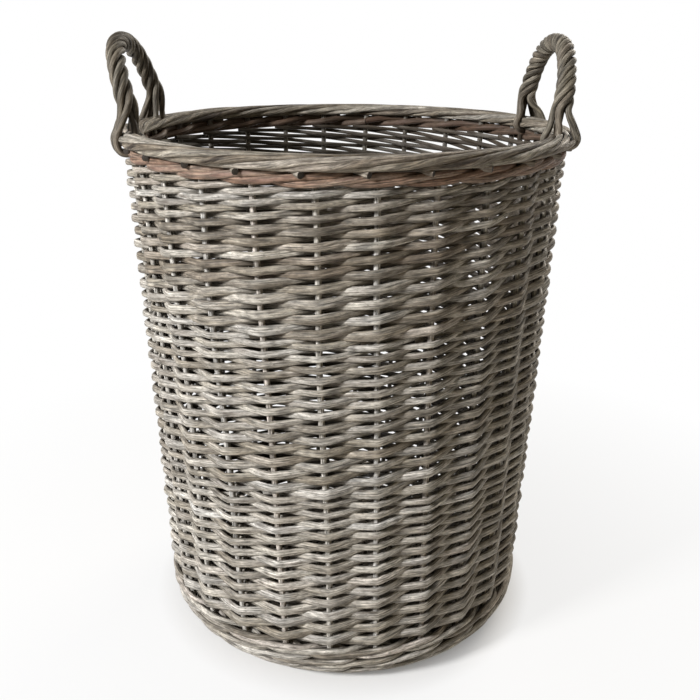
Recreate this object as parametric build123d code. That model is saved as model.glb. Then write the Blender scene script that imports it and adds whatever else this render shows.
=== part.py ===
"""Tall round willow laundry basket with two roped handles, in millimetres, +Z up, origin on the floor."""
import os
from math import atan, cos, degrees, pi, radians, sin

from build123d import *

# Overall form
rim_height = 540.0  # floor to the top of the border
wall_radius_rim = 220.7  # outside of the weave, carried up to the rim's height
wall_radius_floor = 201.4  # outside of the weave, carried down to the floor
clearance = 0.3  # gap left between neighbouring pieces

# Stakes, the upright rods that carry the weave
stake_count = 26
stake_diameter = 6.4
stake_phase = -95.2  # angle of the first stake from +X, in degrees
stake_foot_radius = 100.0  # where a stake's foot starts in the base
stake_bend_radius = 26.0  # centre line of the bend from the base into the wall
stake_proud = 1.6  # how far a stake stands out of the weave behind it

# Base
base_stick_diameter = 11.0
through_stick_diameter = 6.4  # sticks that pass through the slits of the pierced ones
slath_gap = 1.0  # space between neighbouring pierced sticks at the cross
slath_margin = 8.0  # straight length past the cross before a stick fans out
stick_fan_radius = 12.0
straight_angle = 0.01  # turns under this many degrees count as straight
under_lift = 3.2  # floor to the lowest weave under the base
under_rod_width = 6.0
under_rod_depth = 5.0
under_rod_pitch = 8.0
under_first_radius = 44.0
base_weave_depth = 4.6

# Upsett, the waling round the bottom corner
corner_radius = 34.0
upsett_tread = 5.6  # width of the flat ring that stands on the floor
upsett_rise = 9.0  # height of the upsett above the bend of the stakes
upsett_rows = 6
upsett_rib_depth = 2.0
lining_lip = 3.0  # flat part of the inside waling before it turns up

# Wall, three bands of rods that thin from butt to tip
front_depth = 5.6  # a stroke in front of the stakes, measured radially
back_depth = 5.6  # the strokes behind the stakes, measured radially
lower_band_height = 172.0
lower_band_rows = 13
middle_band_height = 158.0
middle_band_rows = 13
upper_band_rows = 11
tip_share = 0.68  # row spacing at a band's top over the spacing at its foot
row_cover = 0.64  # height of a stroke over the spacing of the rows
window_width = 22.0  # opening between two stakes where strokes part
window_margin = 0.6  # weave left above and below an opening, beyond the strokes in front
window_every = 2  # rows from one line of openings to the next

# Top
top_wale_height = 12.5
top_wale_rows = 2
top_wale_cover = 0.94
border_height = 15.0
border_overhang_outside = 9.6
border_overhang_inside = 0.8
border_rounding = 5.6

# Handles
handle_stakes = 3  # stakes between the feet of a handle
handle_rise = 87.0  # border to the top of the rope
left_handle_lean_in = 1.7  # how far the top of a handle stands inside the wall's radius at the rim
right_handle_lean_in = 11.7
handle_leg = 18.0  # length that a foot follows the wall's slope above the border
handle_inset = 13.0  # how far the shoulders draw in from the feet
handle_tail = 90.0  # length of the bow pushed down into the wall
shoulder_radius = 56.0
ankle_radius = 25.0
bow_diameter = 6.4
rope_diameter = 20.0
lashing_width = 22.0
lashing_depth = 4.5
lashing_drop = 8.0  # how far a lashing hangs below the border

# Derived heights and angles
wall_slope = (wall_radius_rim - wall_radius_floor) / rim_height
wall_lean = atan(wall_slope)
stake_pitch = 360.0 / stake_count
base_plane = under_lift + under_rod_depth + clearance + base_stick_diameter / 2
bend_height = base_plane + stake_bend_radius
upsett_height = max(corner_radius, bend_height) + upsett_rise
lower_band_top = upsett_height + lower_band_height
middle_band_top = lower_band_top + middle_band_height
border_foot = rim_height - border_height
top_wale_foot = border_foot - top_wale_height
base_weave_foot = base_plane + base_stick_diameter / 2 + clearance


def wall_radius(z):
    """Outside radius of the weave at a height."""
    return wall_radius_floor + wall_slope * z


def stake_radius(z, diameter=stake_diameter):
    """Centre radius at a height of a rod that lies in the stakes' layer."""
    return wall_radius(z) - front_depth - clearance - diameter / 2


def inside_radius(z):
    """Inside radius of the wall at a height."""
    return stake_radius(z) - stake_diameter / 2 - clearance - back_depth


bend_centre = stake_radius(bend_height) - stake_bend_radius / cos(wall_lean)
corner_centre = wall_radius(corner_radius) - corner_radius / cos(wall_lean)
base_radius = min(corner_centre - upsett_tread, bend_centre - lining_lip)


def at(radius, z):
    """A point of a section, in the plane that is turned round the axis."""
    return (radius, 0, z)


def turned(edges):
    """A ring turned from the closed outline of its section."""
    return revolve(make_face(edges), Axis.Z)


def turned_polygon(points):
    """A ring turned from a section with straight sides."""
    return turned(Polyline(*[at(r, z) for r, z in points], close=True))


def on_wall(angle, z, diameter=stake_diameter):
    """A point on the line of a rod in the stakes' layer."""
    radius = stake_radius(z, diameter)
    return Vector(radius * cos(radians(angle)), radius * sin(radians(angle)), z)


def wall_channel(angle, foot, top, diameter):
    """The straight hole that a rod in the stakes' layer needs, with its clearance."""
    start = on_wall(angle, foot, diameter)
    run = on_wall(angle, top, diameter) - start
    hole = Cylinder(diameter / 2 + clearance, run.length, align=(Align.CENTER, Align.CENTER, Align.MIN))
    return Plane(start, z_dir=run) * hole


def rod(path, diameter):
    """A round rod along a path."""
    return sweep(Plane(path @ 0, z_dir=path % 0) * Circle(diameter / 2), path)


def bent_path(points, radius):
    """Straight runs joined by arcs, without the points that lie in line with their neighbours."""
    places = [Vector(*point) for point in points]
    kept = [places[0]]
    for place, after in zip(places[1:-1], places[2:]):
        if (place - kept[-1]).get_angle(after - place) > straight_angle:
            kept.append(place)
    kept.append(places[-1])
    if len(kept) == 2:
        return Line(*kept)
    return FilletPolyline(*kept, radius=radius)


def stake_angle(index):
    """Angle of a stake, or of a place between two stakes, from +X."""
    return stake_phase + index * stake_pitch


def make_stake():
    """One stake in the XZ plane: a foot in the base, a bend and an upright."""
    top = border_foot - clearance
    corner = at(stake_radius(base_plane), base_plane)
    path = FilletPolyline(
        at(stake_foot_radius, base_plane),
        corner,
        at(stake_radius(top), top),
        radius=stake_bend_radius,
    )
    return rod(path, stake_diameter)


def make_stakes():
    stake = make_stake()
    return {f"stake_{i + 1:02d}": Rot(0, 0, stake_angle(i)) * stake for i in range(stake_count)}


def ray_point(ray, cross_angle):
    """The outer end of a base stick, in the frame of the cross."""
    angle = radians(stake_angle(2 * ray + 0.5) - cross_angle)
    return ((base_radius - clearance) * cos(angle), (base_radius - clearance) * sin(angle), base_plane)


def make_base_sticks():
    """Pierced sticks, the sticks through their slits and a half stick, fanned out to even rays."""
    rays = stake_count // 2
    full = rays // 2
    pierced = full // 2
    through = full - pierced
    cross_angle = stake_angle(through - 1 + 0.5)
    stick_pitch = base_stick_diameter + slath_gap
    through_pitch = through_stick_diameter + clearance
    slit_length = through * through_pitch + clearance
    slit_height = through_stick_diameter + 2 * clearance
    turn_x = (pierced * stick_pitch - slath_gap) / 2 + slath_margin
    turn_y = slit_length / 2 + slath_margin
    sticks = {}
    for k in range(through):
        offset = (k - (through - 1) / 2) * through_pitch
        corners = [(turn_x, offset, base_plane), (-turn_x, offset, base_plane)]
        ends = ray_point(k, cross_angle), ray_point(2 * through + pierced - 1 - k, cross_angle)
        path = bent_path([ends[0], *corners, ends[1]], stick_fan_radius)
        sticks[f"base_through_stick_{k + 1}"] = rod(path, through_stick_diameter)
    slit = Pos(0, 0, base_plane) * Box(2 * turn_x, slit_length, slit_height)
    for k in range(pierced):
        offset = ((pierced - 1) / 2 - k) * stick_pitch
        corners = [(offset, turn_y, base_plane), (offset, -turn_y, base_plane)]
        ends = ray_point(through + k, cross_angle), ray_point(rays - 1 - k, cross_angle)
        path = bent_path([ends[0], *corners, ends[1]], stick_fan_radius)
        sticks[f"base_pierced_stick_{k + 1}"] = rod(path, base_stick_diameter) - slit
    for ray in range(2 * through + pierced, rays - pierced):
        end = Vector(ray_point(ray, cross_angle))
        reach = (turn_x + turn_y) / 2 + base_stick_diameter
        start = Vector(end.X, end.Y, 0).normalized() * reach + Vector(0, 0, base_plane)
        sticks["base_half_stick"] = rod(Line(start, end), base_stick_diameter)
    return {name: Rot(0, 0, cross_angle) * stick for name, stick in sticks.items()}


def make_base_weave_top():
    """The weave over the base sticks, which is the basket's floor."""
    top = base_weave_foot + base_weave_depth
    corners = [(0, base_weave_foot), (base_radius, base_weave_foot), (base_radius, top), (0, top)]
    return turned_polygon(corners)


def hoop(radius, z, depth, height):
    """One round of rod with an oval section."""
    return revolve(Plane.XZ * Pos(radius, z) * Ellipse(depth / 2, height / 2), Axis.Z)


def make_base_weave_under():
    """The rounds of weave under the base sticks."""
    z = under_lift + under_rod_depth / 2
    last = base_radius - clearance - under_rod_width / 2
    rows = int((last - under_first_radius) / under_rod_pitch)
    step = (last - under_first_radius) / rows
    radii = [under_first_radius + i * step for i in range(rows + 1)]
    return Compound(children=[hoop(r, z, under_rod_width, under_rod_depth) for r in radii])


def upsett_face(length, inset):
    """A point of the outside of the upsett at a length along it from the floor, moved in by inset."""
    turn = pi / 2 - wall_lean
    bent = min(length, turn * corner_radius)
    angle = bent / corner_radius - pi / 2
    straight = length - bent
    r = corner_centre + (corner_radius - inset) * cos(angle) + straight * sin(wall_lean)
    z = corner_radius + (corner_radius - inset) * sin(angle) + straight * cos(wall_lean)
    return at(r, z)


def upsett_face_length():
    """Length of the outside of the upsett from the floor to its top edge."""
    tangent_height = corner_radius - corner_radius * sin(wall_lean)
    return (pi / 2 - wall_lean) * corner_radius + (upsett_height - tangent_height) / cos(wall_lean)


def make_upsett_wale():
    """The waling outside the bend of the stakes, ribbed row by row, with a flat tread."""
    length = upsett_face_length()
    row = length / (upsett_rows - 0.5)
    notches = [upsett_face((i + 0.5) * row, upsett_rib_depth) for i in range(upsett_rows)]
    foot = at(corner_centre, 0)
    edges = [ThreePointArc(foot, upsett_face(row / 4, upsett_rib_depth * 0.3), notches[0])]
    for i in range(1, upsett_rows):
        edges.append(ThreePointArc(notches[i - 1], upsett_face(i * row, 0), notches[i]))
    hollow = stake_bend_radius + stake_diameter / 2 + clearance
    flange = base_plane - stake_diameter / 2 - clearance
    bend_top = at(bend_centre + hollow * cos(wall_lean), bend_height - hollow * sin(wall_lean))
    middle = (pi / 2 + wall_lean) / 2
    bend_middle = at(bend_centre + hollow * cos(middle), bend_height - hollow * sin(middle))
    bend_foot = at(bend_centre, flange)
    inner_top = at(notches[-1][0] - front_depth + upsett_rib_depth, notches[-1][2])
    edges.append(Line(notches[-1], inner_top))
    edges.append(Line(inner_top, bend_top))
    edges.append(ThreePointArc(bend_top, bend_middle, bend_foot))
    edges.append(Line(bend_foot, at(base_radius + clearance, flange)))
    edges.append(Line(at(base_radius + clearance, flange), at(base_radius + clearance, 0)))
    edges.append(Line(at(base_radius + clearance, 0), foot))
    return turned(edges)


def make_upsett_lining():
    """The waling inside the bend of the stakes."""
    outer = stake_bend_radius - stake_diameter / 2 - clearance
    inner = outer - back_depth
    foot = base_radius + clearance
    middle = (pi / 2 + wall_lean) / 2

    def bend(radius, angle):
        return at(bend_centre + radius * cos(angle), bend_height - radius * sin(angle))

    edges = [
        Line(at(foot, bend_height - outer), at(bend_centre, bend_height - outer)),
        ThreePointArc(bend(outer, pi / 2), bend(outer, middle), bend(outer, wall_lean)),
        Line(bend(outer, wall_lean), bend(inner, wall_lean)),
        ThreePointArc(bend(inner, wall_lean), bend(inner, middle), bend(inner, pi / 2)),
        Line(at(bend_centre, bend_height - inner), at(foot, bend_height - inner)),
        Line(at(foot, bend_height - inner), at(foot, bend_height - outer)),
    ]
    return turned(edges)


def weave_windows(rows):
    """The openings where strokes part, in the gaps between stakes and between two rows of a band."""
    windows = []
    for (z, step), (next_z, next_step) in zip(rows[::window_every], rows[1::window_every]):
        foot = z + row_cover * step / 2 + window_margin
        top = next_z - row_cover * next_step / 2 - window_margin
        radius = stake_radius((foot + top) / 2)
        block = Pos(radius, 0, (foot + top) / 2) * Box(4 * front_depth, window_width, top - foot)
        windows += [Rot(0, 0, stake_angle(i + 0.5)) * block for i in range(stake_count)]
    return windows


def make_weave(foot, top, rows):
    """The strokes behind the stakes over one band, with its openings and channels for stakes and bows."""
    low = foot + clearance / 2
    high = top - clearance / 2
    proud = stake_diameter / 2 - stake_proud
    section = [
        (inside_radius(low), low),
        (stake_radius(low) + proud, low),
        (stake_radius(high) + proud, high),
        (inside_radius(high), high),
    ]
    ring = turned_polygon(section)
    overrun = 2 * stake_diameter
    channels = []
    for i in range(stake_count):
        channels.append(wall_channel(stake_angle(i), low - overrun, high + overrun, stake_diameter))
    tail_foot = rim_height - handle_tail
    if high > tail_foot:
        for angle in bow_angles():
            start = max(tail_foot, low - overrun) - clearance
            channels.append(wall_channel(angle, start, high + overrun, bow_diameter))
    return ring - channels - weave_windows(rows)


def band_rows(foot, height, rows, share):
    """Height and spacing of each row of a band, whose spacing falls evenly from foot to top."""
    first = height / (rows * (1 + share) / 2)
    z = foot
    placed = []
    for i in range(rows):
        spacing = first * (1 - (1 - share) * i / (rows - 1))
        placed.append((z + spacing / 2, spacing))
        z += spacing
    return placed


def make_courses(placed, cover):
    """The strokes in front of the stakes over one band, one round a row."""
    rounds = [hoop(wall_radius(z) - front_depth / 2, z, front_depth, cover * step) for z, step in placed]
    return Compound(children=rounds)


def border_section(grow, foot):
    """The outline of the border's section, grown by a gap, from a foot height to its top."""
    low = inside_radius(border_foot) - border_overhang_inside - grow
    high = wall_radius(border_foot) + border_overhang_outside + grow
    height = rim_height + grow - foot
    outline = Pos((low + high) / 2, foot + height / 2) * Rectangle(high - low, height)
    return outline


def make_border():
    """The rolled border of turned-down stake ends, with a hole for each bow."""
    outline = border_section(0, border_foot)
    outline = fillet(outline.vertices(), border_rounding)
    ring = revolve(Plane.XZ * outline, Axis.Z)
    low = border_foot - border_height
    high = rim_height + border_height
    return ring - [wall_channel(angle, low, high, bow_diameter) for angle in bow_angles()]


def handle_feet(side):
    """Angles of a handle's two feet, each in a gap between stakes."""
    inner = round((side - stake_phase) / stake_pitch - (handle_stakes - 1) / 2)
    return stake_angle(inner - 0.5), stake_angle(inner + handle_stakes - 0.5)


def bow_angles():
    return [angle for side in (0, 180) for angle in handle_feet(side)]


def handle_path(side, lean_in, foot):
    """The line of a handle, which starts and ends on the wall at a height."""
    first, second = handle_feet(side)
    centre = radians((first + second) / 2)
    ankle = rim_height + handle_leg
    half = radians((second - first) / 2)
    shoulder = stake_radius(ankle, bow_diameter) * sin(half) - handle_inset
    top = rim_height + handle_rise - rope_diameter / 2
    out = Vector(cos(centre), sin(centre), 0) * (wall_radius_rim - lean_in) + Vector(0, 0, top)
    along = Vector(-sin(centre), cos(centre), 0) * shoulder
    points = [on_wall(first, foot, bow_diameter), on_wall(first, ankle, bow_diameter)]
    points += [out - along, out + along]
    points += [on_wall(second, ankle, bow_diameter), on_wall(second, foot, bow_diameter)]
    return FilletPolyline(*points, radius=[ankle_radius, shoulder_radius, shoulder_radius, ankle_radius])


def make_lashing(angle):
    """The rods that tie a handle's foot down, over the border's outside and inside."""
    foot = border_foot - lashing_drop
    hollow = border_section(clearance, foot)
    outline = border_section(clearance + lashing_depth, foot)
    outline = fillet(outline.vertices().group_by(Axis.Y)[-1], border_rounding + clearance + lashing_depth)
    hollow = fillet(hollow.vertices().group_by(Axis.Y)[-1], border_rounding + clearance)
    spread = degrees(lashing_width / wall_radius(rim_height))
    strap = revolve(Plane.XZ * (outline - hollow), Axis.Z, revolution_arc=spread)
    strap = Rot(0, 0, angle - spread / 2) * strap
    return strap - wall_channel(angle, foot, rim_height + handle_rise, bow_diameter)


def make_handle(side, lean_in, name):
    """A bow, the rods roped round it and a lashing at each foot."""
    first, second = handle_feet(side)
    bow_path = handle_path(side, lean_in, rim_height - handle_tail)
    rope_path = handle_path(side, lean_in, rim_height + lashing_depth + 3 * clearance)
    rope_section = Circle(rope_diameter / 2) - Circle(bow_diameter / 2 + clearance)
    rope = sweep(Plane(rope_path @ 0, z_dir=rope_path % 0) * rope_section, rope_path)
    return {
        f"{name}_handle_bow": rod(bow_path, bow_diameter),
        f"{name}_handle_rope": rope,
        f"{name}_handle_first_lashing": make_lashing(first),
        f"{name}_handle_second_lashing": make_lashing(second),
    }


def make_basket():
    """Every piece of the basket by its name."""
    pieces = make_stakes()
    pieces.update(make_base_sticks())
    pieces["base_weave_top"] = make_base_weave_top()
    pieces["base_weave_under"] = make_base_weave_under()
    pieces["upsett_wale"] = make_upsett_wale()
    pieces["upsett_lining"] = make_upsett_lining()
    lower = band_rows(upsett_height, lower_band_height, lower_band_rows, tip_share)
    middle = band_rows(lower_band_top, middle_band_height, middle_band_rows, tip_share)
    upper = band_rows(middle_band_top, top_wale_foot - middle_band_top, upper_band_rows, tip_share)
    pieces["lower_weave"] = make_weave(bend_height + clearance, lower_band_top, lower)
    pieces["middle_weave"] = make_weave(lower_band_top, middle_band_top, middle)
    pieces["upper_weave"] = make_weave(middle_band_top, border_foot - clearance, upper)
    pieces["lower_courses"] = make_courses(lower, row_cover)
    pieces["middle_courses"] = make_courses(middle, row_cover)
    pieces["upper_courses"] = make_courses(upper, row_cover)
    top = band_rows(top_wale_foot, top_wale_height, top_wale_rows, 1.0)
    pieces["top_wale"] = make_courses(top, top_wale_cover)
    pieces["border"] = make_border()
    pieces.update(make_handle(0, right_handle_lean_in, "right"))
    pieces.update(make_handle(180, left_handle_lean_in, "left"))
    return pieces


os.makedirs("parts", exist_ok=True)
for node, piece in make_basket().items():
    export_step(piece, f"parts/{node}.step")
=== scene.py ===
"""Dresses the laundry basket: every rod of its weave, border, handles and base, in weathered willow.

The basket's sizes are in millimetres and become metres when a mesh is made. The floor, the lamps and the
camera are in metres. Angles are in degrees from +X unless a comment says radians.
"""
import math

import bpy
import numpy as np
from mathutils import Matrix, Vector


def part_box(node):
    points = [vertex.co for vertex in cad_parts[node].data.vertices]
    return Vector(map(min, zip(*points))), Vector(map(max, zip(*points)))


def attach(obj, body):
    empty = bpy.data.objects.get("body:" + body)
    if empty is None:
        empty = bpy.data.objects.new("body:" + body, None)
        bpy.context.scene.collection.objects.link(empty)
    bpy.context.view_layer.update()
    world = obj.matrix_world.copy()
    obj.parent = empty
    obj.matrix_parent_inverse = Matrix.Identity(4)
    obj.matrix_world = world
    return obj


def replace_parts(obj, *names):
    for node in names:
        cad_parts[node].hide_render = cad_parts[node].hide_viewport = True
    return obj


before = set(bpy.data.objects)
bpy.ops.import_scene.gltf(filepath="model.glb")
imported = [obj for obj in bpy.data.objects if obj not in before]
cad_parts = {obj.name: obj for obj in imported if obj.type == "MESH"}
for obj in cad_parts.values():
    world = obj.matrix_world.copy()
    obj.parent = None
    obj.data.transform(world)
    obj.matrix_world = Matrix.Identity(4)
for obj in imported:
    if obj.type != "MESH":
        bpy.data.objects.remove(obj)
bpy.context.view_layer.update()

MM = 0.001
tiny = 1e-9  # keeps a length from being nought
nudge = 1e-6

# The basket's form, as the frame has it
border_low, border_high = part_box("border")
rim_height = border_high.z / MM
border_foot = border_low.z / MM
border_radius = border_high.x / MM
rope_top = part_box("right_handle_rope")[1].z / MM
rope_half = 10.0
handle_top_radius = {
    "right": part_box("right_handle_rope")[1].x / MM - rope_half,
    "left": -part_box("left_handle_rope")[0].x / MM - rope_half,
}

# Seeds of the random numbers; the bands have theirs in their own table
seeds = {
    "wobble": 5,
    "stakes": 21,
    "upsett": 31,
    "top_wale": 32,
    "border": 41,
    "border_ends": 43,
    "handles": 51,
    "base": 61,
}

# Wall
wall_radius_rim = 220.7
wall_radius_floor = 201.4
wall_slope = (wall_radius_rim - wall_radius_floor) / rim_height
wall_lean = math.atan(wall_slope)  # radians
layer_gap = 6.3  # middle of the weave to the middle of a waling rod in front of it or behind it
stroke_half = 2.8  # half the depth of a rod of the weave

# Sections of the rods: 2 is an oval, and more is squarer
oval = 2.0
squarish = 2.3

# Tones run from 0 for a dark rod to 1 for a light one; the range is for rods that have none of their own
plain_range = (0.28, 0.78)
crease_shade_tone = -0.3  # painted shade: the darkest tone, for the border's core rings and the handles' bows, which fill the creases between rods; dark even where the grain is light

# Stakes
stake_count = 26
stake_pitch = 360.0 / stake_count
stake_phase = -95.2  # angle of the first stake, halfway up the wall
stake_twist = -4.0  # how far the stakes lean round the basket from foot to rim
stake_butt = 3.1  # half the thickness at the foot
stake_tip = 2.8
stake_range = (0.6, 1.0)  # tones
stake_foot = 100.0  # radius at which a stake starts in the base
stake_plane = 14.0  # height of the part in the base
stake_bend = 26.0  # radius of the bend up into the wall
stake_proud = 1.8  # how far the stakes stand out of the middle of the weave
stake_proud_by = 1.5  # where they have come that far out, in lengths of the bend
stake_into_border = 6.0
wobble_step = 60.0  # height between two random shifts of a stake
wobble_steps = 12
wobble_size = 0.32

# Bands of French randing: foot, top, rows, seed, tones of the rods
upsett_top = 49.0
lower_top = 221.0
middle_top = 379.0
top_wale_foot = 512.5
bands = {
    # The tones step darker from the lower band to the upper one: painted light and shade, lighter towards
    # the foot and darker towards the rim
    "lower": (upsett_top, lower_top, 13, 11, (0.36, 0.86)),
    "middle": (lower_top, middle_top, 13, 12, (0.25, 0.78)),
    "upper": (middle_top, top_wale_foot, 11, 13, (0.12, 0.68)),
}
tip_share = 0.68  # height of a band's last row, as a share of its first
rod_start = -1.3  # where a rod starts, in stakes from its first one
rod_short = 0.6  # how far before the end of its last pass it stops
rod_step = 0.1
stroke_front = 8.0  # middle of the weave to the middle of a stroke in front of a stake
stroke_back = 6.0
stroke_corner = 0.9985  # how sharply a stroke turns at a stake; 1 is a corner
stroke_waver = 0.55
girth_waver = 0.03
girth_range = (0.93, 1.06)
girth_taper = (1.03, 0.95)
height_between = 0.300  # half a rod's height between two stakes, in rows
height_more = 0.034  # what is added to it in front of a stake and behind it
depth_between = 0.98  # a rod's depth between two stakes, as a share of the usual
depth_less = 0.15  # what is taken off it in front of a stake and behind it
depth_gain = 0.1  # what is added to it for a row higher than usual by row_range
row_usual = 12.0
row_range = 5.0

# The loose part of the weave, near the rim at the back
loose_side = 90.0
loose_heights = (420.0, 470.0)
loose_gain = 1.6
loose_edge = 0.4
loose_most = 0.25

# Waling: rods that pass in front of two stakes and behind one
wale_strands = 3
wale_phase = 360.0 / wale_strands
wale_dip = 55.0  # width of a rod's pass behind a stake, in degrees of phase
wale_samples = 8  # points from one stake to the next
wale_climb = 0.289  # how far a rod rises and falls, in rows
wale_waver = 0.35
wale_girth = (0.96, 1.05)

# Border
border_half = 3.0  # half the thickness of its rods
border_inset = 0.8
border_sink = 0.5
border_span = 6.6  # how far round a rod runs, in stakes
border_span_waver = 0.25
border_roll_start = -0.22  # where a rod starts on the border's oval, in turns
border_roll = 0.94
border_swell = 0.05
border_taper = (1.06, 0.9)
border_girth = (0.94, 1.06)
border_flat = 0.96
border_range = (0.05, 0.85)  # tones

# Handles
handle_half_angle = 1.5 * stake_pitch
handle_samples = 150
handle_ankle = 5.0  # height above the rim at which the arch starts
handle_pinch = 0.5  # how much nearer the handle's middle each end of the arch is than the foot under it
arch_power = 0.86  # under 1 makes the arch squarer than half an ellipse
strand_half = 3.15
strand_girth = (0.92, 1.08)
strand_circle = 6.0
strand_flare = 1.12  # how much wider the strands' circle is where they come apart
strand_flare_end = 40.0
strand_count = 5
strand_stray = 0.08  # radians
strand_lay = {"right": 54.0, "left": 72.0}  # length of one full turn of a strand
strand_loose = 30.0  # length over which the strands stop winding at a foot
strand_tone = {"right": (0.25, 0.75), "left": (0.08, 0.6)}  # the left handle's rods are darker
strand_parting = {"right": 17.0, "left": 20.0}  # length of rope above a foot where the strands come apart
strand_drop = {"right": -2.0, "left": 3.2}  # how far the strands' ends hang below the border's foot
bow_half = 3.1
bow_foot = 90.0  # how far below the rim a bow starts
bow_neck = 3.0

# Base
base_reach = 164.0
ray_start = 4.0
ray_half = 4.0
pairing_start = 16.0
pairing_clear = 2.0  # length of the rays left free outside the pairing
pairing_spacing = 8.4
pairing_strands = 2
pairing_step = 0.1
pairing_lift = 6.9  # how far the rods go over and under the rays
pairing_sway = 2.1
pairing_half = (2.0, 2.7)  # half the thickness of the rods, at the middle and at the edge
pairing_flat = 1.35

# The map of a piece: each rod has a strip, with its sides first and its two cut ends last
side_span = 0.96
strip_margin = 0.04
strip_width = 0.92
end_places = (0.972, 0.99)
end_half_width = 0.007
end_half_height = 0.4
strip_middle = 0.5
end_bulge = 0.22  # how far a cut end stands out, as a share of the rod's half depth
grain_jump = (1000.0, 370.0)  # how far apart the grain of two rods lies, for each of their two shades


def wall_radius(z):
    """Outside radius of the weave at a height."""
    return wall_radius_floor + wall_slope * z


def stake_radius(z):
    """Radius of a stake's middle at a height."""
    return wall_radius(z) - layer_gap - stroke_half


# Values that follow from the sizes
bend_turn = math.pi / 2 - wall_lean  # radians
bend_length = bend_turn * stake_bend
bend_height = stake_plane + stake_bend
bend_centre = stake_radius(bend_height) - stake_bend / math.cos(wall_lean)
border_inner = stake_radius(border_foot) - layer_gap - stroke_half - border_inset

# Radii of four places on a strand's end: over the rim, beside the border, under it, and its tip
tail_outside = (border_radius - 4.0, border_radius, border_radius - 3.0, wall_radius(border_foot) - 4.0)
tail_inside = (border_inner + 2.5, border_inner - 2.2, border_inner + 1.5, border_inner + 8.0)
tail_spread = (1.35, 1.6, 1.5, 1.2)  # how far apart the strands are there, as a share of that in the rope
tail_side = 2.2  # strands farther out than this go down outside the border, and farther in, inside it
tail_over = 3.5  # height above the rim of the first place
tail_tip = 2.8  # how far the tip is below the third place
tail_onto = 1.0  # height above the rim at which the other strands go in
tail_samples = 30


def polar(angle, radius, z):
    """Points from angles in degrees, radii and heights."""
    a = np.radians(angle)
    return np.stack(np.broadcast_arrays(radius * np.cos(a), radius * np.sin(a), z), axis=-1)


def unit(v):
    """Vectors brought to length one."""
    return v / np.maximum(np.linalg.norm(v, axis=-1, keepdims=True), tiny)


def waves(rng, count, steps):
    """Smooth random curves with mean zero and a spread of one, one a row, sampled at 0 to steps."""
    base = rng.normal(size=(count, steps + 3))
    smoothing_spread = 2.45
    return (base[:, :-2] + 2 * base[:, 1:-1] + base[:, 2:]) / smoothing_spread


def shade_of(rng, tones=plain_range):
    """Two random numbers that give a rod its tone and its place in the grain."""
    return rng.uniform(*tones), rng.uniform()


wobble = waves(np.random.default_rng(seeds["wobble"]), stake_count, wobble_steps) * wobble_size


def stake_angle(index, z):
    """Angle of a stake at a height; a fraction of an index lies between two stakes."""
    index = np.asarray(index, float)
    z = np.broadcast_to(np.asarray(z, float), index.shape)
    low = np.floor(index)
    share = index - low
    last = wobble.shape[1] - 1.001  # just inside the last step
    place = np.clip(z / wobble_step, 0, last)
    cell = place.astype(int)
    part = place - cell

    def drift(stake):
        row = stake.astype(int) % stake_count
        return wobble[row, cell] * (1 - part) + wobble[row, cell + 1] * part

    lean = stake_twist * (z / rim_height - 0.5)
    return stake_phase + index * stake_pitch + lean + drift(low) * (1 - share) + drift(low + 1) * share


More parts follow.
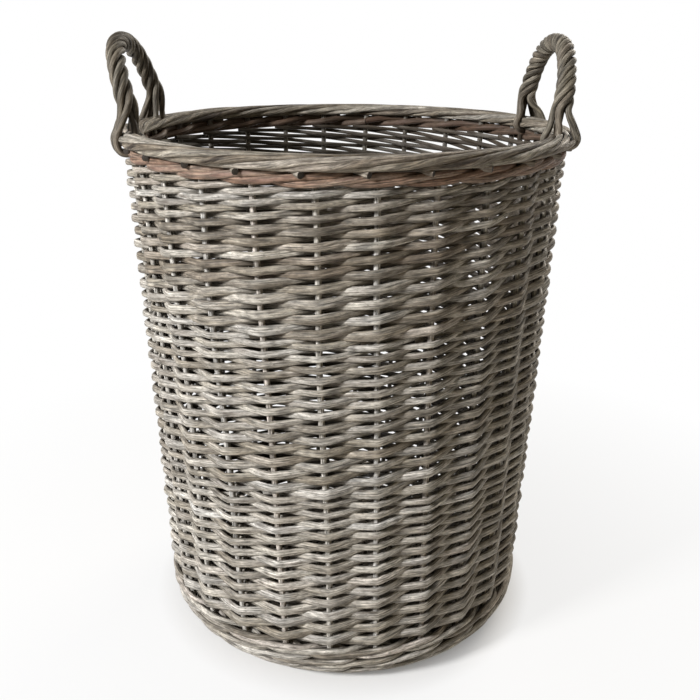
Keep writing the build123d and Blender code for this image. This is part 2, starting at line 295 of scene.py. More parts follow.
class Bundle:
    """Rods that become one piece, each a tube along its own path."""

    def __init__(self, name, slot, sides=8):
        self.name = name
        self.slot = slot
        self.sides = sides
        self.rods = []

    def add(self, path, out, half_height, half_depth, shade, squareness=squarish):
        """A rod along a path; out points to its outside face, shade picks its colour."""
        path = np.asarray(path, float)
        count = len(path)
        out = np.broadcast_to(out, path.shape)
        tangent = unit(np.gradient(path, axis=0))
        rise = unit(np.cross(out, tangent))
        face = np.cross(tangent, rise)
        half_height = np.broadcast_to(half_height, count)[:, None]
        half_depth = np.broadcast_to(half_depth, count)[:, None]
        turn = 2 * np.pi * np.arange(self.sides) / self.sides
        across = np.sign(np.cos(turn)) * np.abs(np.cos(turn)) ** (2 / squareness) * half_depth
        along = np.sign(np.sin(turn)) * np.abs(np.sin(turn)) ** (2 / squareness) * half_height
        ring = path[:, None, :] + across[..., None] * face[:, None, :] + along[..., None] * rise[:, None, :]
        run = np.concatenate([[0], np.cumsum(np.linalg.norm(np.diff(path, axis=0), axis=1))])
        grain = np.stack([np.broadcast_to(run[:, None], across.shape), across, along], axis=-1)
        self.rods.append((ring, grain, path, tangent, half_depth, shade))

    def build(self):
        """Makes the mesh, with a strip of its map for each rod and the rods' grain as attributes."""
        parts = {"co": [], "grain": [], "rod": [], "index": [], "size": [], "uv": []}
        first = 0
        lanes = len(self.rods)
        for lane, rod in enumerate(self.rods):
            first += self.add_arrays(parts, rod, lane / lanes, 1 / lanes, first)
        joined = {key: np.concatenate(value) for key, value in parts.items()}
        mesh = bpy.data.meshes.new(self.name)
        mesh.vertices.add(len(joined["co"]))
        mesh.vertices.foreach_set("co", (joined["co"] * MM).astype(np.float32).ravel())
        mesh.loops.add(len(joined["index"]))
        mesh.loops.foreach_set("vertex_index", joined["index"].astype(np.int32))
        starts = np.concatenate([[0], np.cumsum(joined["size"])[:-1]])
        mesh.polygons.add(len(starts))
        mesh.polygons.foreach_set("loop_start", starts.astype(np.int32))
        mesh.update(calc_edges=True)
        mesh.polygons.foreach_set("use_smooth", np.ones(len(starts), bool))
        uv = mesh.uv_layers.new(name="OFBake")
        uv.data.foreach_set("uv", joined["uv"].astype(np.float32).ravel())
        for key in ("grain", "rod"):
            layer = mesh.attributes.new(key, "FLOAT_VECTOR", "POINT")
            layer.data.foreach_set("vector", joined[key].astype(np.float32).ravel())
        mesh.validate()
        piece = bpy.data.objects.new(self.name, mesh)
        bpy.context.scene.collection.objects.link(piece)
        piece.data.materials.append(materials[self.slot])
        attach(piece, "root")
        return piece

    def add_arrays(self, parts, rod, low, share, first):
        """Appends one rod's tube and its two cut ends, and gives how many points they took."""
        ring, grain, path, tangent, half_depth, shade = rod
        count, sides = ring.shape[:2]
        offset = np.array([grain_jump[0] * shade[0] + grain_jump[1] * shade[1], 0, 0])
        parts["co"].append(ring.reshape(-1, 3))
        parts["grain"].append((grain + offset).reshape(-1, 3))
        parts["rod"].append(np.tile([shade[0], shade[1], 0.0], (count * sides, 1)))
        i, s = np.meshgrid(np.arange(count - 1), np.arange(sides), indexing="ij")
        after = (s + 1) % sides
        here = i * sides
        ahead = (i + 1) * sides
        quads = np.stack([here + s, ahead + s, ahead + after, here + after], -1)
        parts["index"].append(first + quads.reshape(-1))
        parts["size"].append(np.full(quads.shape[0] * quads.shape[1], 4))
        span = side_span / (count - 1)
        u = np.stack([i * span, (i + 1) * span, (i + 1) * span, i * span], -1)
        v = np.stack([s, s, s + 1, s + 1], -1) / sides
        parts["uv"].append(np.stack([u, low + share * (strip_margin + strip_width * v)], -1).reshape(-1, 2))
        used = count * sides
        for end, sign, place in ((0, -1.0, end_places[0]), (-1, 1.0, end_places[1])):
            centre = path[end] + sign * tangent[end] * half_depth[end] * end_bulge
            parts["co"].append(np.vstack([ring[end], centre]))
            parts["grain"].append(np.vstack([grain[end], grain[end].mean(0)]) + offset)
            parts["rod"].append(np.tile([shade[0], shade[1], 1.0], (sides + 1, 1)))
            s = np.arange(sides)
            after = (s + 1) % sides
            rim = (s, after) if sign < 0 else (after, s)
            fan = np.stack([np.full(sides, sides), rim[0], rim[1]], -1)
            parts["index"].append(first + used + fan.reshape(-1))
            parts["size"].append(np.full(sides, 3))
            angle = 2 * np.pi * s / sides
            spot_u = place + end_half_width * np.cos(angle)
            spot_v = low + share * (strip_middle + end_half_height * np.sin(angle))
            spots = np.vstack([np.stack([spot_u, spot_v], -1), [place, low + share * strip_middle]])
            parts["uv"].append(spots[fan].reshape(-1, 2))
            used += sides + 1
        return used


# Noises of the willow: how far each is stretched along the grain and across it, and its detail
drift_noise = ((0.02, 0.16, 0.16), 3.0)
streak_noise = ((0.05, 0.85, 0.85), 6.0)
mottle_noise = ((0.11, 0.3, 0.3), 3.0)
patch_noise = ((0.02, 0.22, 0.22), 3.0)
pit_noise = ((0.24, 0.95, 0.95), 3.0)
noise_roughness = 0.6

# What they become: a noise's own low and high, and the low and high of what it sets
drift_to_tone = (0.3, 0.7, -0.32, 0.32)
streak_to_light = (0.34, 0.66, 0.26, 1.72)
mottle_to_light = (0.34, 0.66, 0.62, 1.26)
patch_range = (0.5, 0.66)
pit_to_share = (0.57, 0.66, 0.0, 0.62)
streak_to_roughness = (0.3, 0.7, 0.7, 0.44)
inside_shade_range = (-1.6, 0.8)  # painted shade on each rod, fading from its inside face to its outside one

pit_colour = (0.07, 0.055, 0.04, 1.0)
# painted shade: the rods' cut ends are near black, as dark as they look in the shade under the border
cut_end_shade_colour = (0.026, 0.02, 0.014, 1.0)
# painted shade: the near black that the rods' inside faces are mixed towards, standing in for the shade
# inside the basket and in the weave's gaps
inside_shade_colour = (0.026, 0.018, 0.011, 1.0)
willow_specular = 0.2
bump_strength = 0.8
bump_distance = 0.0009  # metres
tints = [
    (0.0, (0.98, 1.0, 1.01)),
    (0.4, (1.0, 1.0, 0.98)),
    (0.75, (1.01, 1.005, 0.955)),
    (1.0, (1.03, 0.985, 0.95)),
]

# Tones of the rods, from dark to light
grey_tones = [
    (0.0, (0.125, 0.103, 0.077)),
    (0.3, (0.235, 0.206, 0.166)),
    (0.6, (0.347, 0.318, 0.276)),
    (1.0, (0.525, 0.490, 0.437)),
]
# The border's darkest stop is near black: painted shade that the core rings take for the creases and that
# the darkest rods dip towards
border_tones = [
    (0.0, (0.030, 0.020, 0.012)),
    (0.1, (0.125, 0.098, 0.070)),
    (0.5, (0.226, 0.198, 0.158)),
    (1.0, (0.422, 0.388, 0.332)),
]
red_tones = [(0.0, (0.105, 0.055, 0.036)), (0.5, (0.185, 0.118, 0.081)), (1.0, (0.275, 0.215, 0.165))]
brown_tones = [(0.0, (0.085, 0.068, 0.049)), (0.5, (0.150, 0.130, 0.103)), (1.0, (0.235, 0.212, 0.178))]
# The handles' darkest olive is near black: painted shade that the bows take for the gaps between the
# strands and that the darkest strands dip towards
olive_tones = [(0.0, (0.036, 0.028, 0.018)), (0.5, (0.138, 0.120, 0.092)), (1.0, (0.240, 0.212, 0.171))]
bark = (0.125, 0.092, 0.064)
red_bark = (0.17, 0.085, 0.06)

# Each slot's tones, colour of bark, share of bark and how much painted shade darkens its inside faces
looks = {
    "willow_weave": (grey_tones, bark, 0.45, 0.82),
    "willow_stake": (grey_tones, bark, 0.2, 0.7),
    "willow_base": (brown_tones, bark, 0.5, 0.3),
    "willow_upsett": (grey_tones, bark, 0.4, 0.6),
    "willow_wale": (red_tones, red_bark, 0.6, 0.6),
    "willow_border": (border_tones, bark, 0.5, 0.3),
    "willow_handle": (olive_tones, bark, 0.35, 0.5),
}


def ramp_node(tree, stops):
    """A colour ramp with the given places and colours."""
    node = tree.nodes.new("ShaderNodeValToRGB")
    while len(node.color_ramp.elements) < len(stops):
        node.color_ramp.elements.new(0.5)
    for element, (place, colour) in zip(node.color_ramp.elements, stops):
        element.position = place
        element.color = (*colour, 1.0)
    return node


def scaled_noise(tree, source, scale, detail):
    """Noise along the grain, stretched by a scale for each axis."""
    stretch = tree.nodes.new("ShaderNodeVectorMath")
    stretch.operation = "MULTIPLY"
    stretch.inputs[1].default_value = scale
    tree.links.new(source, stretch.inputs[0])
    noise = tree.nodes.new("ShaderNodeTexNoise")
    noise.inputs["Scale"].default_value = 1.0
    noise.inputs["Detail"].default_value = detail
    noise.inputs["Roughness"].default_value = noise_roughness
    tree.links.new(stretch.outputs[0], noise.inputs["Vector"])
    return noise.outputs["Fac"]


def spread(tree, value, low, high, to_low, to_high):
    """A value moved from one range to another."""
    node = tree.nodes.new("ShaderNodeMapRange")
    for socket, number in zip(("From Min", "From Max", "To Min", "To Max"), (low, high, to_low, to_high)):
        node.inputs[socket].default_value = number
    tree.links.new(value, node.inputs["Value"])
    return node.outputs["Result"]


def grey(tree, value, low, high, to_low, to_high):
    """A grey whose lightness is a value moved from one range to another."""
    node = tree.nodes.new("ShaderNodeCombineColor")
    for channel in ("Red", "Green", "Blue"):
        tree.links.new(spread(tree, value, low, high, to_low, to_high), node.inputs[channel])
    return node.outputs[0]


def blend_colours(tree, mode, factor, first, second):
    """Two colours mixed; a factor or colour may be a socket or a value."""
    node = tree.nodes.new("ShaderNodeMix")
    node.data_type = "RGBA"
    node.blend_type = mode
    factor_socket, first_socket, second_socket, result_socket = 0, 6, 7, 2
    for socket, value in zip((factor_socket, first_socket, second_socket), (factor, first, second)):
        if isinstance(value, bpy.types.NodeSocket):
            tree.links.new(value, node.inputs[socket])
        else:
            node.inputs[socket].default_value = value
    return node.outputs[result_socket]


def willow(name, tones, bark_colour, bark_share, inside_shade_share):
    """Willow: a tone for each rod, streaks, bark, pits, cut ends painted near black as shade, and painted
    shade on the inside faces.
    """
    material = bpy.data.materials.new(name)
    material.use_nodes = True
    tree = material.node_tree
    shader = tree.nodes["Principled BSDF"]
    grain_node = tree.nodes.new("ShaderNodeAttribute")
    grain_node.attribute_name = "grain"
    grain = grain_node.outputs["Vector"]
    rod = tree.nodes.new("ShaderNodeAttribute")
    rod.attribute_name = "rod"
    parts = tree.nodes.new("ShaderNodeSeparateXYZ")
    tree.links.new(rod.outputs["Vector"], parts.inputs[0])

    tone = ramp_node(tree, tones)
    drift = scaled_noise(tree, grain, *drift_noise)
    wander = tree.nodes.new("ShaderNodeMath")
    wander.operation = "ADD"
    tree.links.new(parts.outputs["X"], wander.inputs[0])
    tree.links.new(spread(tree, drift, *drift_to_tone), wander.inputs[1])
    tree.links.new(wander.outputs[0], tone.inputs["Fac"])

    streak = scaled_noise(tree, grain, *streak_noise)
    streak_light = grey(tree, streak, *streak_to_light)
    colour = blend_colours(tree, "MULTIPLY", 1.0, tone.outputs["Color"], streak_light)
    mottle = scaled_noise(tree, grain, *mottle_noise)
    colour = blend_colours(tree, "MULTIPLY", 1.0, colour, grey(tree, mottle, *mottle_to_light))
    tint = ramp_node(tree, tints)
    tree.links.new(parts.outputs["Y"], tint.inputs["Fac"])
    colour = blend_colours(tree, "MULTIPLY", 1.0, colour, tint.outputs["Color"])

    patch = scaled_noise(tree, grain, *patch_noise)
    patch_share = spread(tree, patch, *patch_range, 0.0, bark_share)
    colour = blend_colours(tree, "MIX", patch_share, colour, (*bark_colour, 1.0))
    pits = scaled_noise(tree, grain, *pit_noise)
    colour = blend_colours(tree, "MIX", spread(tree, pits, *pit_to_share), colour, pit_colour)
    # painted shade: the cut ends take the near black colour
    colour = blend_colours(tree, "MIX", parts.outputs["Z"], colour, cut_end_shade_colour)
    place = tree.nodes.new("ShaderNodeSeparateXYZ")
    tree.links.new(grain, place.inputs[0])
    # painted shade: each rod's inside faces are mixed towards a near black
    inside = spread(tree, place.outputs["Y"], *inside_shade_range, inside_shade_share, 0.0)
    colour = blend_colours(tree, "MIX", inside, colour, inside_shade_colour)
    tree.links.new(colour, shader.inputs["Base Color"])

    tree.links.new(spread(tree, streak, *streak_to_roughness), shader.inputs["Roughness"])
    shader.inputs["Specular IOR Level"].default_value = willow_specular
    bump = tree.nodes.new("ShaderNodeBump")
    bump.inputs["Strength"].default_value = bump_strength
    bump.inputs["Distance"].default_value = bump_distance
    tree.links.new(streak, bump.inputs["Height"])
    tree.links.new(bump.outputs["Normal"], shader.inputs["Normal"])
    return material


materials = {slot: willow(slot, *look) for slot, look in looks.items()}


def stake_line(length):
    """Radius, height and outward direction on a stake, by length from the foot of its bend."""
    length = np.asarray(length, float)
    bent = np.clip(length, 0, bend_length)
    angle = bent / stake_bend - math.pi / 2
    before = np.minimum(length, 0)
    after = np.maximum(length - bend_length, 0)
    radius = bend_centre + stake_bend * np.cos(angle) + before + after * math.sin(wall_lean)
    z = bend_height + stake_bend * np.sin(angle) + after * math.cos(wall_lean)
    return radius, z, np.cos(angle), np.sin(angle)


def on_stakes(index, length, lift):
    """Points round the basket at a length along the stakes, lifted off them, and their outward side."""
    radius, z, out_r, out_z = stake_line(length)
    angle = stake_angle(index, z)
    points = polar(angle, radius + lift * out_r, z + lift * out_z)
    return points, polar(angle, out_r, out_z)


def make_stakes():
    """The upright rods, from their feet in the base to the border."""
    bundle = Bundle("stakes", "willow_stake")
    rng = np.random.default_rng(seeds["stakes"])
    upright = (border_foot + stake_into_border - bend_height) / math.cos(wall_lean)
    before_bend, after_bend = 2.0, 10.0
    foot_samples, bend_samples, wall_samples = 6, 9, 50
    lengths = np.concatenate([
        np.linspace(stake_foot - bend_centre, -before_bend, foot_samples),
        np.linspace(0, bend_length, bend_samples),
        bend_length + np.linspace(after_bend, upright, wall_samples),
    ])
    half = np.interp(lengths, [0, bend_length + upright], [stake_butt, stake_tip])
    lift = np.interp(lengths, [0, bend_length * stake_proud_by], [0.0, stake_proud])
    for index in range(stake_count):
        points, out = on_stakes(np.full(lengths.shape, float(index)), lengths, lift)
        bundle.add(points, out, half, half, shade_of(rng, stake_range))
    piece = bundle.build()
    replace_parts(piece, *[f"stake_{i + 1:02d}" for i in range(stake_count)])


def row_height(foot, top, rows):
    """A function from a row's number, whole or not, to its height, and one to the rows' spacing there."""
    first = (top - foot) / (rows * (1 + tip_share) / 2)
    spacing = first * (1 - (1 - tip_share) * np.arange(rows) / (rows - 1))
    middles = foot + np.cumsum(spacing) - spacing / 2

    def height(row):
        inside = np.interp(row, np.arange(rows), middles)
        under = np.minimum(row, 0) * spacing[0]
        over = np.maximum(row - rows + 1, 0) * spacing[-1]
        return inside + under + over

    def step(row):
        return np.interp(row, np.arange(rows), spacing)

    return height, step


def slack(angle, z):
    """How much thinner the rods are near the rim at the back, where the weave has gaps."""
    away = np.cos(np.radians(angle - loose_side))
    return loose_most * np.clip(away * loose_gain - loose_edge, 0, 1) * np.interp(z, loose_heights, [0, 1])


def make_rand(name):
    """One band of French randing: a rod starts at each stake and climbs a row for every two stakes."""
    foot, top, rows, seed, tones = bands[name]
    height, step = row_height(foot, top, rows)
    rng = np.random.default_rng(seed)
    passes = 2 * rows
    samples = np.arange(rod_start, passes - rod_short, rod_step)
    bundles = [Bundle(f"{name}_rand_{half}", "willow_weave") for half in ("first", "second")]
    spots = np.arange(-2, passes + 2)
    lift_noise = waves(rng, stake_count, len(spots) - 1) * stroke_waver
    rise_noise = waves(rng, stake_count, len(spots) - 1) * stroke_waver
    girth_noise = waves(rng, stake_count, len(spots) - 1) * girth_waver
    swing = np.arcsin(stroke_corner * np.cos(np.pi * samples)) / math.asin(stroke_corner)
    swing_lift = np.where(swing > 0, stroke_front, stroke_back) * swing
    pitch = step(samples / 2)
    height_share = height_between + height_more * swing**2
    depth_share = depth_between - depth_less * swing**2 + depth_gain * (pitch - row_usual) / row_range
    for start in range(stake_count):
        z = height(samples / 2) + np.interp(samples, spots, rise_noise[start])
        lift = swing_lift + np.interp(samples, spots, lift_noise[start])
        angle = stake_angle(start + samples, z)
        path = polar(angle, stake_radius(z) + lift, z)
        out = polar(angle, np.ones_like(z), np.zeros_like(z))
        girth = rng.uniform(*girth_range) * (1 + np.interp(samples, spots, girth_noise[start]))
        girth = girth * np.interp(samples, [rod_start, passes], girth_taper) * (1 - slack(angle, z))
        half_height = pitch * girth * height_share
        half_depth = stroke_half * girth * depth_share
        bundles[start % 2].add(path, out, half_height, half_depth, shade_of(rng, tones))
    for bundle, node in zip(bundles, (f"{name}_weave", f"{name}_courses")):
        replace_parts(bundle.build(), node)


def wale_swing(phase):
    """How far in front of the stakes a waling rod is, from 1 in front to -1 behind, by phase in degrees."""
    away = np.abs((phase + 180.0) % 360.0 - 180.0)
    return 1 - 2 * np.exp(-(((away - 180.0) / wale_dip) ** 2))


def add_wale(bundle, start, rows, spacing, front, back, half_depth, cover, seed):
    """Level rounds of waling; front has lengths along the stakes and how far out the rods are there."""
    rng = np.random.default_rng(seed)
    walk = np.linspace(0, stake_count, wale_samples * stake_count + 1)
    for row in range(rows):
        samples = walk + stake_count * (row + 0.5)
        length = start + spacing * (row + 0.5)
        front_here = np.interp(length, *front)
        for strand in range(wale_strands):
            noise = waves(rng, 1, stake_count)[0] * wale_waver
            noise[-1] = noise[0]
            phase = wale_phase * (samples + strand) + 180.0
            swing = wale_swing(phase)
            lift = np.where(swing > 0, swing * front_here, swing * back)
            along = length + wale_climb * spacing * np.sin(np.radians(phase))
            along = along + np.interp(walk, np.arange(len(noise)), noise)
            path, out = on_stakes(samples, along, lift)
            half_height = spacing * cover / 4 * rng.uniform(*wale_girth)
            bundle.add(path, out, half_height, half_depth, shade_of(rng))


def make_upsett():
    """The waling round the bottom corner, outside and inside the bend of the stakes."""
    bundle = Bundle("upsett_wale", "willow_upsett")
    places = [-6.0, bend_length * 0.5, bend_length + 10.0]  # in the base, on the bend, on the wall
    reaches = [10.6, 9.8, layer_gap]
    start = -7.0
    rows = 5
    clear_of_band = 2.0
    top = bend_length + upsett_top - bend_height - clear_of_band
    spacing = (top - start) / rows
    seed = seeds["upsett"]
    front = (places, reaches)
    add_wale(bundle, start, rows, spacing, front, back=6.2, half_depth=3.2, cover=1.05, seed=seed)
    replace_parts(bundle.build(), "upsett_wale", "upsett_lining")


def make_top_wale():
    """The reddish waling over the last band."""
    bundle = Bundle("top_wale", "willow_wale")
    clear_of_band = 1.7
    start = bend_length + (top_wale_foot + clear_of_band - bend_height) / math.cos(wall_lean)
    proud = 0.9
    front = ([start], [layer_gap + proud])
    spacing = 12.2
    seed = seeds["top_wale"]
    add_wale(bundle, start, 1, spacing, front, back=layer_gap, half_depth=3.0, cover=1.15, seed=seed)
    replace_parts(bundle.build(), "top_wale")


def oval_walk(wide, tall):
    """A function from a share of an oval's whole way round to an angle in radians, even in length."""
    turn = np.linspace(0, 2 * np.pi, 721)
    steps = np.hypot(np.diff(wide * np.cos(turn)), np.diff(tall * np.sin(turn)))
    run = np.concatenate([[0], np.cumsum(steps)]) / steps.sum()

    def angle(share):
        whole = np.floor(share)
        return np.interp(share - whole, run, turn) + 2 * np.pi * whole

    return angle


def make_border():
    """The rolled border: each rod comes from under the rim, climbs its outside and goes in over its top."""
    bundle = Bundle("border_rods", "willow_border", sides=10)
    rng = np.random.default_rng(seeds["border"])
    middle = (border_inner + border_radius) / 2
    wide = (border_radius - border_inner) / 2 - border_half
    tall = (rim_height - border_foot) / 2 - border_half - border_sink
    centre = (rim_height + border_foot) / 2 - border_sink
    walk = oval_walk(wide, tall)
    samples = np.linspace(0, 1, 110)
    swell_steps = 8
    swell_spots = np.linspace(0, 1, swell_steps + 1)
    for index in range(stake_count):
        reach = border_span + rng.uniform(-border_span_waver, border_span_waver)
        turn = walk(border_roll_start + samples * border_roll)
        swell = 1 + np.interp(samples, swell_spots, waves(rng, 1, swell_steps)[0]) * border_swell
        angle = stake_phase + stake_pitch * (index + reach * samples) + stake_twist / 2
        radius = middle + wide * np.cos(turn) * swell
        z = centre + tall * np.sin(turn) * swell
        path = polar(angle, radius, z)
        out = polar(angle, np.cos(turn) / wide, np.sin(turn) / tall)
        thick = border_half * np.interp(samples, [0, 1], border_taper) * rng.uniform(*border_girth)
        bundle.add(path, unit(out), thick, thick * border_flat, shade_of(rng, border_range))
    add_border_core(bundle, middle, centre, wide, tall)
    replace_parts(bundle.build(), "border")


def add_border_core(bundle, middle, centre, wide, tall):
    """Two rings inside the border in the darkest tone, painted shade that closes the creases between its
    rods.
    """
    samples = 160
    ring_place = 0.4
    ring_share = 0.45
    ring_clear = 0.6
    grain_place = 0.5
    angle = np.linspace(0, 360, samples)
    out = polar(angle, np.ones(samples), np.zeros(samples))
    for level in (-ring_place, ring_place):
        path = polar(angle, np.full(samples, middle + level * wide), np.full(samples, centre))
        bundle.add(path, out, tall - ring_clear, wide * ring_share, (crease_shade_tone, grain_place))


def make_border_ends():
    """The trimmed ends that show under the border, one beside each stake."""
    bundle = Bundle("border_ends", "willow_border", sides=12)
    rng = np.random.default_rng(seeds["border_ends"])
    beside = 0.16  # in stakes
    stray = 0.5
    reach_range = (3.5, 5.5)
    samples = 6
    swerve = np.linspace(-3.0, 0.0, samples)
    drop = 0.8
    drop_waver = (-0.8, 0.6)
    fall = np.linspace(1.5, 0, samples)
    end_half = 3.1
    end_girth = (0.9, 1.08)
    end_range = (0.25, 0.6)  # tones
    for index in range(stake_count):
        stake = float(stake_angle(np.array([index - beside]), border_foot)[0])
        angle = stake + rng.uniform(-stray, stray)
        reach = wall_radius(border_foot) + rng.uniform(*reach_range)
        radius = np.linspace(stake_radius(border_foot), reach, samples)
        z = border_foot - drop + rng.uniform(*drop_waver) + fall
        path = polar(angle + swerve, radius, z)
        half = end_half * rng.uniform(*end_girth)
        bundle.add(path, (0, 0, 1), half, half, shade_of(rng, end_range), squareness=oval)
    bundle.build()


def handle_centre(side):
    """The angle of the middle of a handle, which lies on a stake's line at the rim."""
    steps = round((side - stake_phase) / stake_pitch)
    return stake_phase + steps * stake_pitch


def handle_line(side, top_radius, count):
    """A handle's middle line from foot to foot, its two cross directions and the length along it."""
    centre = math.radians(handle_centre(side))
    out = np.array([math.cos(centre), math.sin(centre), 0])
    along = np.array([-math.sin(centre), math.cos(centre), 0])
    up = np.array([0, 0, 1.0])
    ankle = rim_height + handle_ankle
    foot_radius = stake_radius(ankle)
    half = math.radians(handle_half_angle)
    foot_out = foot_radius * math.cos(half)
    reach = foot_radius * math.sin(half) - handle_pinch
    rise = rope_top - rope_half - ankle
    turn = np.linspace(np.pi, 0, count)
    sideways = reach * np.sign(np.cos(turn)) * np.abs(np.cos(turn)) ** arch_power
    height = rise * np.sin(turn) ** arch_power
    outward = foot_out + (top_radius - foot_out) * height / rise
    points = outward[:, None] * out + sideways[:, None] * along + (ankle + height)[:, None] * up
    steps = np.linalg.norm(np.diff(points, axis=0), axis=1)
    run = np.concatenate([[0], np.cumsum(steps)])
    even = np.linspace(0, run[-1], count)
    points = np.stack([np.interp(even, run, points[:, k]) for k in range(3)], -1)
    tangent = unit(np.gradient(points, axis=0))
    lean = (top_radius - foot_out) / rise
    plane = unit(out - up * lean)
    first = unit(plane - (tangent * plane).sum(1, keepdims=True) * tangent)
    second = np.cross(tangent, first)
    return points, first, second, even


def smooth_line(points, heading, count):
    """A soft curve through a few points that sets off along a heading."""
    points = np.asarray(points, float)
    lead = points[1] - 2 * np.linalg.norm(points[1] - points[0]) * heading
    padded = np.vstack([lead, points, 2 * points[-1] - points[-2]])
    place = np.linspace(0, len(points) - 1 - nudge, count)
    cell = place.astype(int)
    t = (place - cell)[:, None]
    a, b, c, d = (padded[cell + k] for k in range(4))
    return 0.5 * (2 * b + (c - a) * t + (2 * a - 5 * b + 4 * c - d) * t**2 + (3 * b - a - 3 * c + d) * t**3)


def foot_tail(foot, start, heading, drop):
    """A strand's end: from the rope down over the border, outside it, inside it or onto it."""
    axis = polar(foot, stake_radius(rim_height), 0.0)
    radial = unit(polar(foot, 1.0, 0.0))
    around = np.array([-radial[1], radial[0], 0])
    offset = start - axis
    reach = offset @ radial
    slip = offset @ around
    middle = (rim_height + border_foot) / 2
    under = border_foot - drop
    heights = (rim_height + tail_over, middle, under, under - tail_tip)
    if reach > tail_side:
        radii = tail_outside
    elif reach < -tail_side:
        radii = tail_inside
    else:
        radii = np.linspace(start @ radial, stake_radius(border_foot), 4)
        heights = np.linspace(rim_height + tail_onto, border_foot, 4)
    guide = [start]
    for radius, z, share in zip(radii, heights, tail_spread):
        guide.append(radial * radius + around * slip * share + np.array([0, 0, z]))
    return smooth_line(guide, heading, tail_samples)[1:]


def make_handle(side, name):
    """A bow with rods roped round it, whose ends part at each foot and grip the border."""
    rope = Bundle(f"{name}_handle_rope", "willow_handle", sides=10)
    rng = np.random.default_rng(seeds["handles"] + round(side))
    points, first, second, run = handle_line(side, handle_top_radius[name], handle_samples)
    centre_angle = handle_centre(side)
    feet = (centre_angle - handle_half_angle, centre_angle + handle_half_angle)
    to_foot = np.minimum(run, run[-1] - run)
    hold = np.clip(to_foot / strand_loose, 0, 1)
    wound = np.cumsum(hold * hold * (3 - 2 * hold)) * (run[1] - run[0]) / strand_lay[name]
    parting = strand_parting[name]
    roped = (run > parting) & (run < run[-1] - parting)
    circle = strand_circle * np.interp(to_foot, [parting, strand_flare_end], [strand_flare, 1])
    for strand in range(strand_count):
        turn = 2 * np.pi * (wound + strand / strand_count) + rng.uniform(-strand_stray, strand_stray)
        side_line = np.cos(turn)[:, None] * first + np.sin(turn)[:, None] * second
        path = (points + circle[:, None] * side_line)[roped]
        half = strand_half * rng.uniform(*strand_girth)
        tail = foot_tail(feet[0], path[0], unit(path[0] - path[1]), strand_drop[name])
        path = np.vstack([tail[::-1], path])
        tail = foot_tail(feet[1], path[-1], unit(path[-1] - path[-2]), strand_drop[name])
        path = np.vstack([path, tail])
        nearest = np.argmin(((path[:, None, :] - points[None]) ** 2).sum(-1), axis=1)
        out = unit(path - points[nearest] + nudge)
        rope.add(path, out, half, half, shade_of(rng, strand_tone[name]), squareness=oval)
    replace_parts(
        rope.build(),
        f"{name}_handle_rope", f"{name}_handle_first_lashing", f"{name}_handle_second_lashing",
    )
    bow = Bundle(f"{name}_handle_bow", "willow_handle")
    leg_samples = 12
    leg_z = np.linspace(rim_height - bow_foot, rim_height + bow_neck, leg_samples)
    low = polar(np.full(leg_samples, feet[0]), stake_radius(leg_z), leg_z)
    high = polar(np.full(leg_samples, feet[1]), stake_radius(leg_z), leg_z)[::-1]
    path = np.vstack([low, points[2:-2], high])
    out = np.vstack([low * 0 + first[0], first[2:-2], high * 0 + first[-1]])
    # painted shade: the bow takes the darkest tone, so the gaps between the strands show dark
    bow.add(path, out, bow_half, bow_half, (crease_shade_tone, rng.uniform()))
    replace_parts(bow.build(), f"{name}_handle_bow")


def ray_angle(place):
    """The angle at a place counted in rays of the base, each of which lies beside a stake's foot."""
    return stake_phase + (2 * place + 0.5) * stake_pitch - stake_twist / 2


def make_base():
    """The base: sticks fanned out to rays, and pairing wound out over and under them."""
    rays = stake_count // 2
    sticks = Bundle("base_sticks", "willow_base")
    rng = np.random.default_rng(seeds["base"])
    ray_samples = 24
    for ray in range(rays):
        radius = np.linspace(ray_start, base_reach, ray_samples)
        path = polar(np.full(ray_samples, ray_angle(ray)), radius, np.full(ray_samples, stake_plane))
        sticks.add(path, (0, 0, -1), ray_half, ray_half, shade_of(rng))
    nodes = [f"base_{kind}_stick_{k + 1}" for kind in ("through", "pierced") for k in range(3)]
    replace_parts(sticks.build(), *nodes, "base_half_stick")
    weave = Bundle("base_weave", "willow_base")
    pairing_end = base_reach - pairing_clear
    rounds = (pairing_end - pairing_start) / pairing_spacing
    samples = np.arange(0, rounds * rays, pairing_step)
    radius = pairing_start + pairing_spacing * samples / rays
    half = np.interp(radius, [pairing_start, pairing_end], pairing_half)
    for strand in range(pairing_strands):
        swing = np.cos(np.pi * (samples + strand))
        z = stake_plane + swing * pairing_lift
        sway = pairing_sway * np.sin(np.pi * (samples + strand))
        path = polar(ray_angle(samples), radius + sway, z)
        weave.add(path, (0, 0, 1), half * pairing_flat, half, shade_of(rng))
    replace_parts(weave.build(), "base_weave_top", "base_weave_under")


# Floor: it shows as plain white away from the basket, by the distance from the basket's middle
floor_half = 6.0
floor_colour = (0.74, 0.72, 0.68, 1)
floor_roughness = 0.9
floor_specular = 0.1
floor_white = [(0.17, (0, 0, 0)), (0.225, (0.8, 0.8, 0.8)), (0.75, (1, 1, 1))]

# Surround: white where it is seen, and a weak warm light on the basket
surround_light = (1.0, 0.82, 0.6, 1)
surround_strength = 0.02
surround_seen = (1, 1, 1, 1)

# Lamps: place, aim, size, power in watts, colour
lamps = {
    "key": ((-2.0, -1.5, 1.6), (0, 0, 0.3), 0.5, 129.0, (0.95, 0.97, 1.02)),
    "back": ((1.5, 2.1, 1.5), (0, 0, 0.25), 1.4, 60.0, (1.0, 0.93, 0.82)),
    "fill": ((1.52, -1.94, 1.2), (0, 0, 0.25), 1.4, 4.6, (1.0, 0.85, 0.58)),
}

# Camera: its sensor and lens are in millimetres, its angles in radians
camera_place = (0, -0.903, 0.6385)
camera_dip = 0.3666
camera_roll = 0.0048
camera_sensor = 36.0
camera_lens = 44.4
camera_shift = 0.0081


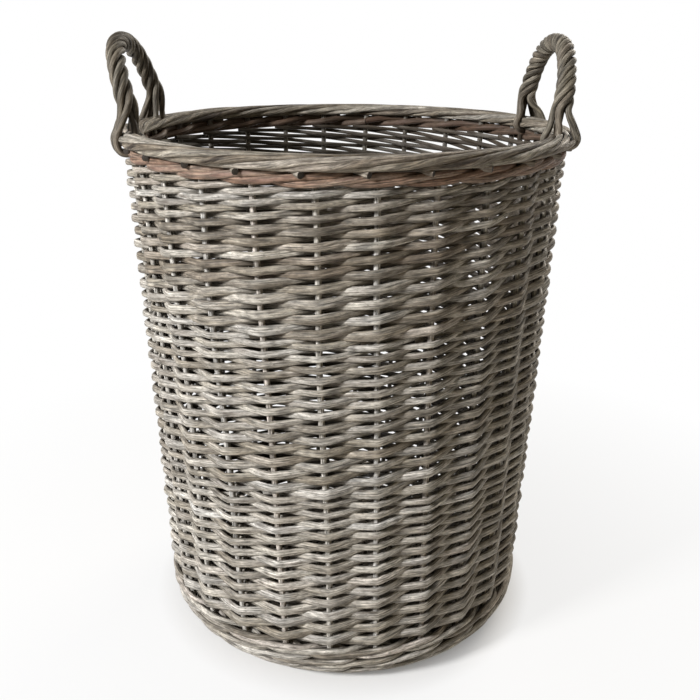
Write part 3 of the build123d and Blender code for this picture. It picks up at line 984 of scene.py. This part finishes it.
def seen_rays(tree):
    """One for rays that the camera sees straight, mirrored or through glass, and nought for the others."""
    path = tree.nodes.new("ShaderNodeLightPath")
    total = path.outputs["Is Camera Ray"]
    for name in ("Is Glossy Ray", "Is Transmission Ray"):
        node = tree.nodes.new("ShaderNodeMath")
        node.operation = "MAXIMUM"
        tree.links.new(total, node.inputs[0])
        tree.links.new(path.outputs[name], node.inputs[1])
        total = node.outputs[0]
    return total


def make_floor():
    """A pale floor, with the basket's shadow near its foot."""
    mesh = bpy.data.meshes.new("floor")
    corners = [(x * floor_half, y * floor_half, 0) for x, y in ((-1, -1), (1, -1), (1, 1), (-1, 1))]
    mesh.from_pydata(corners, [], [(0, 1, 2, 3)])
    floor = bpy.data.objects.new("floor", mesh)
    bpy.context.scene.collection.objects.link(floor)
    material = bpy.data.materials.new("floor_white")
    material.use_nodes = True
    tree = material.node_tree
    shader = tree.nodes["Principled BSDF"]
    shader.inputs["Base Color"].default_value = floor_colour
    shader.inputs["Roughness"].default_value = floor_roughness
    shader.inputs["Specular IOR Level"].default_value = floor_specular
    glow = tree.nodes.new("ShaderNodeEmission")
    mix = tree.nodes.new("ShaderNodeMixShader")
    spot = tree.nodes.new("ShaderNodeNewGeometry")
    away = tree.nodes.new("ShaderNodeVectorMath")
    away.operation = "LENGTH"
    tree.links.new(spot.outputs["Position"], away.inputs[0])
    pale = ramp_node(tree, floor_white)
    tree.links.new(away.outputs["Value"], pale.inputs["Fac"])
    white = tree.nodes.new("ShaderNodeMath")
    white.operation = "MULTIPLY"
    tree.links.new(pale.outputs["Color"], white.inputs[0])
    tree.links.new(seen_rays(tree), white.inputs[1])
    tree.links.new(white.outputs[0], mix.inputs[0])
    tree.links.new(shader.outputs[0], mix.inputs[1])
    tree.links.new(glow.outputs[0], mix.inputs[2])
    tree.links.new(mix.outputs[0], tree.nodes["Material Output"].inputs["Surface"])
    mesh.materials.append(material)


def make_surround():
    """The world round the basket."""
    world = bpy.data.worlds.new("studio")
    bpy.context.scene.world = world
    world.use_nodes = True
    tree = world.node_tree
    back = tree.nodes["Background"]
    colour = blend_colours(tree, "MIX", seen_rays(tree), surround_light, surround_seen)
    tree.links.new(colour, back.inputs["Color"])
    strength = spread(tree, seen_rays(tree), 0.0, 1.0, surround_strength, 1.0)
    tree.links.new(strength, back.inputs["Strength"])


def add_lamp(name, place, aim, size, power, colour):
    """A soft square lamp that faces a point."""
    data = bpy.data.lights.new(name, "AREA")
    data.color = colour
    data.size = size
    data.energy = power
    lamp = bpy.data.objects.new(name, data)
    bpy.context.scene.collection.objects.link(lamp)
    z = -unit(np.array(aim) - np.array(place))
    x = unit(np.cross((0, 0, 1), z))
    y = np.cross(z, x)
    turn = Matrix((x, y, z)).transposed().to_4x4()
    lamp.matrix_world = Matrix.Translation(place) @ turn


def make_camera():
    """The photograph's view: a little above the rim, from in front."""
    data = bpy.data.cameras.new("camera")
    data.sensor_width = camera_sensor
    data.lens = camera_lens
    data.shift_x = camera_shift
    camera = bpy.data.objects.new("camera", data)
    bpy.context.scene.collection.objects.link(camera)
    pitch = Matrix.Rotation(math.pi / 2 - camera_dip, 4, "X")
    roll = Matrix.Rotation(camera_roll, 4, "Z")
    camera.matrix_world = Matrix.Translation(camera_place) @ pitch @ roll
    bpy.context.scene.camera = camera


bpy.context.scene.view_settings.view_transform = "Standard"
make_camera()
make_floor()
make_surround()
for lamp_name, lamp_values in lamps.items():
    add_lamp(lamp_name, *lamp_values)
make_stakes()
for band in bands:
    make_rand(band)
make_upsett()
make_top_wale()
make_border()
make_border_ends()
make_handle(0.0, "right")
make_handle(180.0, "left")
make_base()
